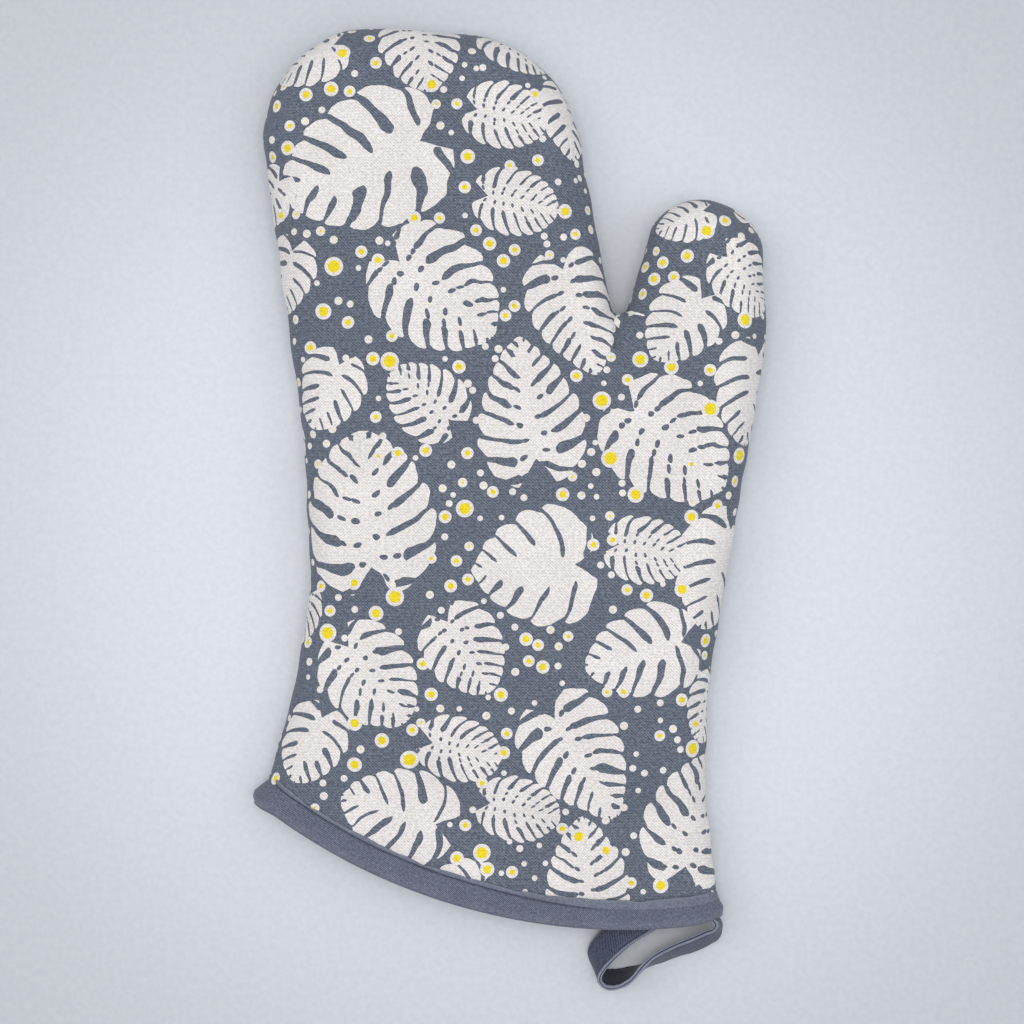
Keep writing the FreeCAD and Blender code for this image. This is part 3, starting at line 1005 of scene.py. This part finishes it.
def build_inner_layer(name, inset, material, nodes, inward, padding):
    """A hidden layer: both its faces follow the mitt at one depth."""
    plan, faces, depth = plan_mesh(inset, 4.2, HEM_RADIUS - LAYER_HEM, 5, True)
    middle = HALF_THICKNESS * fullness(plan)
    outer = half_height(plan, depth + inset)
    own_height = half_height(plan, depth, inset)
    settle = smooth(depth / 7.0)
    shifts = read_padding(plan, padding)
    front, back = surface_points(plan, depth + inset, shifts[0], shifts[1], faces)
    front_z = middle + own_height + (front[:, 2] - middle - outer) * settle
    back_z = middle - own_height + (back[:, 2] - middle + outer) * settle
    front = np.column_stack([plan, np.maximum(front_z, middle)])
    back = np.column_stack([plan, np.clip(back_z, 0.4 + inset * 0.8, middle)])
    thumb = on_thumb(plan[faces].mean(1))
    count = len(plan)
    verts = np.concatenate([front, back])
    both = np.concatenate([faces, faces[:, ::-1] + count])
    if inward:
        both = both[:, ::-1]
    chosen_thumb = np.concatenate([thumb, thumb])
    for part, chosen in (("hand", ~chosen_thumb), ("thumb", chosen_thumb)):
        own, own_faces, _ = pick_faces(verts, both, chosen)
        obj = make_object("%s_%s" % (name, part), own, own_faces)
        cloth = np.concatenate([own[:, :2], np.zeros((len(own), 1))], 1)[own_faces]
        corner_vectors(obj.data, "cloth", cloth)
        obj.data.materials.append(material)
        bend_piece(obj, part)
        bodies = ["thumb"] if part == "thumb" else ["palm", "fingers"]
        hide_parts(*[pattern % b for pattern in nodes for b in bodies])


# ---------------------------------------------------------------- cuff

def cuff_rows(radius, count, closed_rows=16):
    """Points round the cuff at one distance from the hem's centre: front face from the outer
    corner to the thumb corner, then the back face home.  Each is (x, y, z), returned with each front
    point's share of the way round the cuff."""
    fine = np.linspace(math.radians(200), math.radians(300), 4000)
    ring = HEM_CENTRE + radius * np.stack([np.cos(fine), np.sin(fine)], 1)
    depth, _ = edge_distance(ring)
    inside = depth > 0.0
    ring, depth = ring[inside], np.maximum(depth[inside], 0.0)
    run = run_lengths(ring)
    total = run[-1]
    near = EDGE_ROUND * (1.0 - np.cos(np.radians(np.linspace(0, 80, closed_rows))))
    stops = np.concatenate([near, np.linspace(near[-1], total - near[-1], count)[1:-1],
                            total - near[::-1]])
    plan = np.column_stack([np.interp(stops, run, ring[:, 0]), np.interp(stops, run, ring[:, 1])])
    d = np.interp(stops, run, depth)
    d[0] = d[-1] = 0.0
    front, back = padded_faces(plan, d)
    return np.concatenate([front, back[-2:0:-1]]), stops / total


def ring_normals(loop, below):
    """Outward normals of a closed loop on the cuff, given the loop a little nearer the hem."""
    along = np.roll(loop, -1, 0) - np.roll(loop, 1, 0)
    down = below - loop
    normal = unit_rows(np.cross(down, along))
    centre = loop.mean(0)
    flip = ((loop - centre) * normal)[:, 2].sum() < 0
    return -normal if flip else normal


HEM_LENGTH = 168.0        # along the hem, from corner to corner
BINDING_TOP = 10.2        # reach of the binding up from the hem
BINDING_WALL = 4.4        # thickness that the binding wraps: canvas, wadding and lining
STITCH_LIFT = 1.15        # of the tape where its stitching has sunk out of sight
BINDING_RINGS = np.array([10.4, 8.0, 6.0, 4.0, 2.0, 0.0])

# How much of the corner's turn each row of the binding takes, from its upper edge to the hem.
CORNER_TURN = [0.0, 0.0, 0.0, 0.0, 0.0, 0.0, 0.0, 0.0, 0.02, 0.1, 0.25, 0.5, 0.72, 0.86, 0.95]


def build_binding(materials):
    """Folded tape over the cuff's edge: outer ply, hem fold and inner ply in one skin."""
    count = 150
    loops, lanes, highlight_and_shade = [], [], []
    base, share = cuff_rows(HEM_RADIUS - 10.0, count)
    size = len(base)
    position = np.concatenate([share, share[-2:0:-1]])
    # 1 at the side seams, where the tape lies tighter.
    from_corner = np.minimum(position, 1.0 - position) * HEM_LENGTH
    corner = np.exp(-(from_corner / 5.0) ** 2)
    tight = np.exp(-(from_corner / 4.0) ** 2)
    turn = np.arange(size) / size * 2 * math.pi
    slow = np.sin(9 * turn + 0.6) + 0.7 * np.sin(23 * turn + 2.0) + 0.5 * np.sin(41 * turn)
    # How far below the tape's upper edge its stitching runs.
    lip = 1.5 + 2.2 * smooth((position - 0.45) / 0.4)
    # Outer ply from its folded upper edge down to the hem: how far up from the hem, lift, and painted
    # highlight (1) or painted shade (-1).  A stitch station lies its fourth value above the stitching
    # instead.
    stations = [(BINDING_TOP, 0.10, 0.0), (10.3, 0.75, 0.5), (10.0, 1.05, 0.55), (9.5, 1.15, 0.3),
                ("stitch", 1.10, 0.3, 0.6), ("stitch", 0.85, 0.0, 0.25), ("stitch", 0.42, -0.85, 0.0),
                ("stitch", 0.85, -0.2, -0.25), ("stitch", 1.15, 0.0, -0.8), (6.5, 1.5, 0.0),
                (5.0, 1.7, 0.0), (3.4, 1.75, 0.0), (2.0, 1.6, 0.1), (1.0, 1.35, 0.2), (0.35, 0.9, 0.2)]
    outer_corner = position < 0.5
    bulge = np.where(outer_corner, 2.1, 0.6)
    turn_in = np.where(outer_corner, -1.5, 1.0)
    sink = np.where(outer_corner, 2.0, 0.9)
    # The stitching sinks out of sight towards the thumb side.
    fade = 1.0 - 0.92 * smooth((position - 0.66) / 0.14)
    for where, lift, pale, *past in stations:
        if where == "stitch":
            reach = BINDING_TOP - lip + past[0]
            lift = STITCH_LIFT - (STITCH_LIFT - lift) * fade
        else:
            reach = np.full(size, float(where))
            if where > 9.0:
                reach = reach + 0.28 * slow * (1.0 - corner)
            elif lanes:
                # The plain face starts below the stitching, wherever that runs.
                reach = np.minimum(reach, lanes[-1][0] - 0.6)
        lift = lift * (1.0 - 0.55 * corner) + 0.12 * slow * (1.3 < lift)
        lift = lift - sink * tight * np.clip((reach - 3.5) / 6.0, 0.0, 1.0)
        lift = lift + bulge * corner * np.exp(-((reach - 2.6) / 3.2) ** 2)
        lanes.append((reach, lift))
        # The painted shade of the stitching groove fades out where the stitching sinks; painted
        # highlights stay.
        highlight_and_shade.append(pale * fade if pale < 0.0 else np.full(size, pale))
    rings = [cuff_rows(HEM_RADIUS - r, count)[0] for r in BINDING_RINGS]
    lower = [cuff_rows(HEM_RADIUS - r + 0.4, count)[0] for r in BINDING_RINGS]
    normals = np.array([ring_normals(a, b) for a, b in zip(rings, lower)])
    rings = np.array(rings)

    def at(reach):
        """Cuff surface and normal at a given distance from the hem, for every column."""
        place = np.interp(-reach, -BINDING_RINGS, np.arange(len(rings)))
        low = np.clip(place.astype(int), 0, len(rings) - 2)
        t = (place - low)[:, None]
        cols = np.arange(size)
        p = rings[low, cols] * (1 - t) + rings[low + 1, cols] * t
        n = normals[low, cols] * (1 - t) + normals[low + 1, cols] * t
        return p, unit_rows(n)

    for reach, lift in lanes:
        p, n = at(reach)
        loops.append(p + n * lift[:, None])
    hem, hem_normal = at(np.zeros(size))
    down = unit_rows(hem - at(np.full(size, 1.5))[0])
    for k in range(1, 8):
        a = math.pi * k / 8
        across = (BINDING_WALL / 2 + 0.8) * math.cos(a) - BINDING_WALL / 2
        swell = bulge * corner * 0.5 * (0.5 + 0.5 * math.cos(a))
        loops.append(hem + hem_normal * (across + swell)[:, None] + down * (0.9 * math.sin(a)))
    for reach, inside in ((0.6, 0.9), (3.0, 1.2), (6.5, 1.1), (9.4, 0.8), (9.8, 0.3)):
        p, n = at(np.full(size, reach))
        loops.append(p - n * (BINDING_WALL + inside))
    highlight_and_shade += [np.zeros(size)] * (len(loops) - len(highlight_and_shade))
    # The tape turns the two corners of the cuff in a round.
    for loop, up in zip(loops, CORNER_TURN + [1.0] * 7 + [0.95, 0.5, 0.1, 0.0, 0.0]):
        loop[:, :2] += unit_rows(HEM_CENTRE - loop[:, :2]) * (turn_in * up * corner)[:, None]
    verts = np.concatenate(loops)
    verts[:, 2] = np.maximum(verts[:, 2], 0.05)
    faces, cloth = [], []
    lengths = [np.zeros(size)]
    for a, b in zip(loops[:-1], loops[1:]):
        lengths.append(lengths[-1] + np.linalg.norm(b - a, axis=1))
    around = run_lengths(loops[4])
    for k in range(len(loops) - 1):
        for i in range(size):
            j = (i + 1) % size
            faces.append((k * size + i, k * size + j, (k + 1) * size + j, (k + 1) * size + i))
            u1 = around[i + 1] if j else around[i] + 1.0
            cloth.append([(around[i], lengths[k][i], highlight_and_shade[k][i]), (u1, lengths[k][j], highlight_and_shade[k][j]),
                          (u1, lengths[k + 1][j], highlight_and_shade[k + 1][j]),
                          (around[i], lengths[k + 1][i], highlight_and_shade[k + 1][i])])
    obj = make_object("cuff_binding_tape", verts, faces)
    corner_vectors(obj.data, "cloth", np.array(cloth))
    recalculate(obj)
    obj.data.materials.append(materials["binding"])
    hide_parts("cuff_binding")
    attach(obj, "hand")
    stitch_line = loops[6] - at(lanes[6][0])[1] * (0.5 * (1.0 - fade))[:, None]
    stitch_line[:, 2] = np.maximum(stitch_line[:, 2], 0.35)
    threads = stitches(stitch_line, 2.35, 0.45, 0.24, 0.12)
    thread = make_object("cuff_topstitch", *threads)
    thread.data.materials.append(materials["thread"])
    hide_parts("binding_topstitch")
    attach(thread, "hand")


def recalculate(obj):
    """Turns every face outwards."""
    work = bmesh.new()
    work.from_mesh(obj.data)
    bmesh.ops.recalc_face_normals(work, faces=work.faces)
    work.to_mesh(obj.data)
    work.free()


STITCH_SIDES = 6


def stitches(path, length, gap, radius, sink, closed=True):
    """Short rounded threads laid end to end along a path.  Returns vertices and faces."""
    pts = np.concatenate([path, path[:1]]) if closed else path
    run = run_lengths(pts)
    step = length + gap
    number = int(run[-1] / step)
    verts, faces = [], []
    shape = [(0.0, 0.35), (0.12, 0.85), (0.5, 1.0), (0.88, 0.85), (1.0, 0.35)]
    for s in range(number):
        ring_start = len(verts)
        here = [np.array([np.interp(s * step + f * length, run, pts[:, k]) for k in range(3)])
                for f, _ in shape]
        along = unit(here[-1] - here[0])
        side = np.cross(along, [0.0, 0.0, 1.0])
        side = unit(side) if np.linalg.norm(side) > 1e-6 else np.array([1.0, 0.0, 0.0])
        up = np.cross(side, along)
        for (f, size), p in zip(shape, here):
            dip = -sink * (1.0 - size)
            for k in range(STITCH_SIDES):
                a = k * 2 * math.pi / STITCH_SIDES
                verts.append(p + side * radius * size * math.cos(a)
                             + up * (radius * size * math.sin(a) + dip))
        for r in range(len(shape) - 1):
            row = ring_start + r * STITCH_SIDES
            for k in range(STITCH_SIDES):
                a, b = row + k, row + (k + 1) % STITCH_SIDES
                faces.append((a, b, b + STITCH_SIDES, a + STITCH_SIDES))
        faces.append(tuple(range(ring_start, ring_start + STITCH_SIDES))[::-1])
        faces.append(tuple(range(len(verts) - STITCH_SIDES, len(verts))))
    return verts, faces


def stitch_rows(paths, *sizes):
    """Several open rows of stitches, as one mesh."""
    verts, faces = [], []
    for path in paths:
        row_verts, row_faces = stitches(path, *sizes, closed=False)
        faces += [tuple(i + len(verts) for i in face) for face in row_faces]
        verts += row_verts
    return verts, faces


# ---------------------------------------------------------------- hanging loop

# Stations along the tape, from its outer root round the far end to its inner root:
# upper edge x, y, z and lower edge x, y, z.
TAPE = [
    ((68.6, -138.0, 18.2), (68.9, -138.0, 6.0)),
    ((69.4, -143.5, 18.2), (69.8, -143.6, 6.0)),
    ((71.6, -148.6, 17.6), (72.4, -148.8, 5.4)),
    ((74.3, -151.6, 16.4), (76.4, -152.2, 4.4)),
    ((73.4, -154.0, 15.2), (77.2, -155.6, 3.6)),
    ((71.3, -154.9, 14.2), (75.4, -159.4, 3.6)),
    ((66.0, -157.4, 13.4), (68.2, -163.2, 3.0)),
    ((58.8, -160.4, 12.9), (60.4, -165.8, 2.2)),
    ((51.9, -164.2, 12.7), (53.4, -168.4, 1.6)),
    ((47.3, -168.6, 12.7), (48.9, -169.8, 1.0)),
    ((43.6, -173.0, 12.7), (45.0, -170.4, 1.0)),
    ((39.2, -175.6, 12.6), (40.8, -171.0, 1.3)),
    ((35.0, -175.9, 12.6), (36.6, -171.4, 1.3)),
    ((32.3, -173.7, 12.5), (32.5, -171.0, 0.8)),
    ((32.8, -170.6, 12.0), (29.6, -168.0, 0.8)),
    ((36.6, -166.4, 10.8), (28.6, -162.4, 2.4)),
    ((42.8, -161.1, 10.0), (32.6, -156.0, 5.2)),
    ((49.6, -156.2, 11.4), (40.6, -149.6, 7.0)),
    ((57.0, -151.0, 14.2), (51.4, -143.0, 7.0)),
    ((63.0, -145.6, 16.8), (62.0, -139.8, 6.4)),
    ((66.0, -138.4, 18.0), (66.2, -137.4, 5.8)),
]

# Half section of the tape, from its upper edge to the fold at its lower edge: place across the width,
# half thickness, and 1 where a painted highlight makes the edge pale, below 0 where painted shade
# darkens the stitching groove.  Two plies meet at the upper edge.
TAPE_HALF = [
    (0.985, 0.10, 0.2), (1.0, 0.34, 1.0), (1.0, 0.66, 1.0), (0.965, 0.90, 0.9), (0.90, 1.0, 0.4),
    (0.84, 0.92, 0.1), (0.80, 0.64, -0.5), (0.76, 0.88, 0.0), (0.62, 0.98, 0.0), (0.3, 1.0, 0.0),
    (0.0, 1.0, 0.0), (-0.3, 1.0, 0.0), (-0.62, 0.98, 0.0), (-0.76, 0.88, 0.0), (-0.80, 0.64, -0.5),
    (-0.84, 0.92, 0.1), (-0.92, 0.90, 0.3), (-0.97, 0.62, 0.7), (-0.995, 0.30, 0.8),
]


TAPE_REACH = 6.1          # half the tape's width


def spline(points, steps):
    """Catmull-Rom curve through the points."""
    p = np.asarray(points, float)
    p = np.concatenate([[2 * p[0] - p[1]], p, [2 * p[-1] - p[-2]]])
    out = []
    for i in range(1, len(p) - 2):
        for k in range(steps):
            t = k / steps
            a, b, c, d = p[i - 1], p[i], p[i + 1], p[i + 2]
            out.append(0.5 * (2 * b + (c - a) * t + (2 * a - 5 * b + 4 * c - d) * t * t
                              + (3 * b - a - 3 * c + d) * t ** 3))
    out.append(p[-2])
    return np.array(out)


def build_loop(materials):
    upper = spline([s[0] for s in TAPE], 8)
    lower = spline([s[1] for s in TAPE], 8)
    centre = (upper + lower) / 2
    across = unit_rows(upper - lower)
    normal = unit_rows(np.cross(np.gradient(centre, axis=0), across))
    # Painted shade: the inner face of the tape is darkened wherever no highlight is painted, for the
    # shadow inside the loop.
    inner_side = [(w, h, highlight_and_shade - 0.8 * (highlight_and_shade < 0.35)) for w, h, highlight_and_shade in TAPE_HALF]
    outer_side = [(w, -h, highlight_and_shade) for w, h, highlight_and_shade in TAPE_HALF[::-1]]
    # The gap between the plies at the upper edge is painted in shade, and the lower fold is painted
    # with a highlight.
    section = [(0.93, 0.0, -1.0)] + inner_side + [(-1.0, 0.0, 0.8)] + outer_side
    rows = len(centre)
    size = len(section)
    ripple = np.sin(np.arange(rows) * 0.55) + 0.6 * np.sin(np.arange(rows) * 1.13 + 1.0)
    verts = []
    run = run_lengths(centre)
    for r in range(rows):
        for w, h, _ in section:
            edge = abs(w) > 0.78
            thick = h * (1.0 + (0.07 * ripple[r] if edge else 0.0))
            verts.append(centre[r] + across[r] * TAPE_REACH * w + normal[r] * thick)
    outline = [(w * TAPE_REACH, h) for w, h, _ in section + section[:1]]
    lanes = run_lengths(outline)
    faces, cloth = [], []
    for r in range(rows - 1):
        for k in range(size):
            j = (k + 1) % size
            faces.append((r * size + k, r * size + j, (r + 1) * size + j, (r + 1) * size + k))
            here, there = section[k][2], section[j][2]
            cloth.append([(lanes[k], run[r], here), (lanes[k + 1], run[r], there),
                          (lanes[k + 1], run[r + 1], there), (lanes[k], run[r + 1], here)])
    faces.append(tuple(range(size)))
    cloth_flat = [c for quad in cloth for c in quad] + [(lanes[k], 0.0, 0) for k in range(size)]
    faces.append(tuple((rows - 1) * size + k for k in range(size - 1, -1, -1)))
    cloth_flat += [(lanes[k], run[-1], 0) for k in range(size)]
    obj = make_object("hanging_loop", verts, faces)
    corner_vectors(obj.data, "cloth", np.array(cloth_flat, float))
    recalculate(obj)
    obj.data.materials.append(materials["loop"])
    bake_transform(obj)
    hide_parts("loop_tape", "loop_ends")
    paths = [centre + across * TAPE_REACH * w + normal * side * 0.66
             for w in (0.80, -0.80) for side in (1, -1)]
    thread = make_object("loop_topstitch", *stitch_rows(paths, 2.1, 0.45, 0.2, 0.1))
    thread.data.materials.append(materials["thread"])
    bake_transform(thread)
    # Bar of close stitches that holds both ends together inside the cuff.
    paths = [np.array([[64.9, y, 15.6], [64.9, y, 8.4]]) for y in -139.6 + 0.32 * np.arange(9)]
    bar = make_object("loop_bar_stitch", *stitch_rows(paths, 6.8, 0.2, 0.2, 0.0))
    bar.data.materials.append(materials["thread"])
    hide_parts("loop_bartack")
    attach(bar, "hand")


# ---------------------------------------------------------------- room

TABLE_HALF = 4.0          # half the table's side, in metres


def build_room():
    mesh = bpy.data.meshes.new("table")
    s = TABLE_HALF
    mesh.from_pydata([(-s, -s, 0), (s, -s, 0), (s, s, 0), (-s, s, 0)], [], [(0, 1, 2, 3)])
    table = bpy.data.objects.new("table", mesh)
    bpy.context.scene.collection.objects.link(table)
    mesh.materials.append(table_material())

    world = bpy.data.worlds.new("room")
    bpy.context.scene.world = world
    world.use_nodes = True
    sky = world.node_tree.nodes["Background"]
    sky.inputs[0].default_value = (0.93, 0.96, 1.0, 1.0)
    sky.inputs[1].default_value = 0.59

    def area(name, place, target, size, energy, colour):
        light = bpy.data.lights.new(name, "AREA")
        light.shape = "RECTANGLE"
        light.size, light.size_y = size
        light.energy = energy
        light.color = colour
        obj = bpy.data.objects.new(name, light)
        obj.location = place
        obj.rotation_mode = "QUATERNION"
        obj.rotation_quaternion = (Vector(target) - Vector(place)).to_track_quat("-Z", "Y")
        bpy.context.scene.collection.objects.link(obj)

    area("window", (-0.85, 0.3, 1.2), (0, 0, 0), (1.1, 1.1), 4.4, (1.0, 0.98, 0.95))
    area("fill", (0.8, -0.1, 1.3), (0, 0, 0), (1.3, 1.3), 4.2, (0.96, 0.98, 1.0))
    area("overhead", (0.0, 0.0, 1.5), (0, 0, 0), (0.7, 0.7), 8.1, (1.0, 0.99, 0.97))

    camera = bpy.data.cameras.new("camera")
    camera.lens = 85.0
    camera.sensor_width = 36.0
    eye = bpy.data.objects.new("camera", camera)
    eye.location = (0.0, -0.0013, 0.8986)
    eye.rotation_euler = (0.0, 0.0, 0.0)
    bpy.context.scene.collection.objects.link(eye)
    bpy.context.scene.camera = eye
    bpy.context.scene.view_settings.view_transform = "Standard"
    bpy.context.scene.view_settings.exposure = 0.0


# ---------------------------------------------------------------- the mitt

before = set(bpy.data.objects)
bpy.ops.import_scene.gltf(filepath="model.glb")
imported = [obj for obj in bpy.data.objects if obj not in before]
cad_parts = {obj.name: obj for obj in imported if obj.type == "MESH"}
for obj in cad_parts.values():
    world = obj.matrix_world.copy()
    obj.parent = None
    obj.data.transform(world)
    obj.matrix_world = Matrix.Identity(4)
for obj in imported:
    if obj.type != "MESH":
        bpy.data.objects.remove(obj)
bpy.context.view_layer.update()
build_room()
materials = {
    "canvas": canvas_material(),
    "binding": twill_material("binding_twill", linear(50, 54, 73), linear(126, 130, 147)),
    "loop": twill_material("loop_twill", linear(32, 38, 58), linear(98, 103, 123), 0.7),
    "lining": twill_material("lining_twill", linear(84, 88, 100), linear(122, 126, 137)),
    "wadding": wadding_material(),
    "thread": thread_material(),
}
padding = padded_plan()
build_shells(materials, padding)
build_inner_layer("wadding", 1.1, materials["wadding"],
                  ["batting_front_%s", "batting_back_%s", "seam_allowance_%s"], False, padding)
build_inner_layer("lining", 5.4, materials["lining"],
                  ["lining_front_%s", "lining_back_%s"], True, padding)
build_binding(materials)
build_loop(materials)
